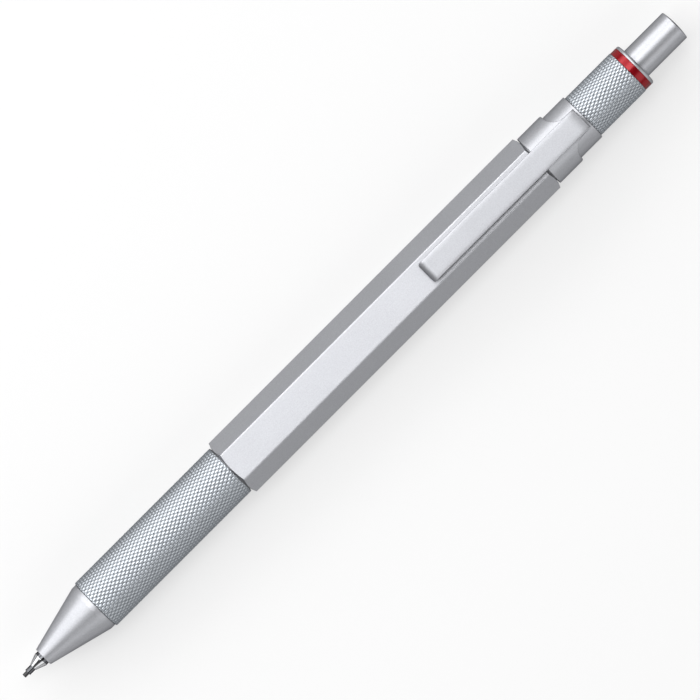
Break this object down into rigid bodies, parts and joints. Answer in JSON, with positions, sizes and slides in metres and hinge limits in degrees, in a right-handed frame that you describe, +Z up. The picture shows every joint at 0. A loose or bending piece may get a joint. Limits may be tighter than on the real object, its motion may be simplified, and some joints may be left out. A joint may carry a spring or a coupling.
{
  "type": "mechanical pencil",
  "caption": "Push-button mechanical pencil with a conical nose, knurled grip, hexagonal barrel and pocket clip; pressing the button feeds a thin lead through a fixed guide tip.",
  "frame": {"origin": "on the table, under the middle of the pencil's length, with the pencil lying on its side and the clip up", "axes": "+X along the pencil from the lead to the button, +Z up through the clip, +Y across"},
  "size_m": [0.14, 0.0102, 0.011],
  "materials": {
    "graphite": "graphite and clay lead, dull sheen",
    "polished_steel": "turned and polished",
    "black_rubber": "moulded",
    "satin_plate": "turned brass, blasted and satin plated in silver colour",
    "brass": "turned, bare",
    "spring_steel": "drawn wire",
    "grey_plastic": "moulded",
    "white_plastic": "extruded",
    "knurled_plate": "diamond knurled brass, plated in silver colour",
    "dark_bush": "turned, blackened",
    "satin_barrel": "drawn hexagon, blasted and satin finished",
    "clip_steel": "stamped, satin, bare",
    "red_ring": "glossy red",
    "ferrule": "drawn",
    "white_rubber": "moulded, soft",
    "satin_button": "turned, satin"
  },
  "bodies": {
    "root": {"lead_pipe": "polished_steel", "guide_tip": "polished_steel", "lead_retainer": "black_rubber", "nose_cone": "satin_plate", "clutch_sleeve": "brass", "return_spring": "spring_steel", "grip_sleeve": "knurled_plate", "barrel_bush": "dark_bush", "hex_barrel": "satin_barrel", "clip_collar": "satin_plate", "rear_sleeve": "knurled_plate", "colour_ring": "red_ring", "end_bezel": "satin_plate"},
    "carriage": {"chuck": "brass", "chuck_holder": "grey_plastic", "lead_tube": "white_plastic", "spare_leads": "graphite", "eraser_holder": "ferrule", "eraser": "white_rubber"},
    "cap": {"push_button": "satin_button"},
    "ring": {"clutch_ring": "brass"},
    "lead": {"lead": "graphite"},
    "clip": {"clip": "clip_steel"}
  },
  "joints": [
    {"name": "button_press", "type": "slide", "parent": "root", "child": "carriage", "axis": [-1, 0, 0], "range_m": [0, 0.0025], "stiffness_N_per_m": 1200, "springref_m": -0.002, "deforming": ["return_spring"]},
    {"name": "cap_pull", "type": "slide", "parent": "carriage", "child": "cap", "axis": [1, 0, 0], "range_m": [0, 0.018]},
    {"name": "clutch_ring_slide", "type": "slide", "parent": "root", "child": "ring", "axis": [-1, 0, 0], "range_m": [0, 0.00085]},
    {"name": "lead_feed", "type": "slide", "parent": "ring", "child": "lead", "axis": [-1, 0, 0], "range_m": [-0.0008, 0.004]},
    {"name": "clip_flex", "type": "hinge", "parent": "root", "child": "clip", "pos_m": [0.04935, 0, 0.00935], "axis": [0, 1, 0], "range_deg": [0, 5], "stiffness_Nm_per_rad": 2, "springref_deg": -1.15}
  ],
  "couplings": [
    {"joint": "clutch_ring_slide", "follows": "button_press", "ratio": 0.34}
  ]
}
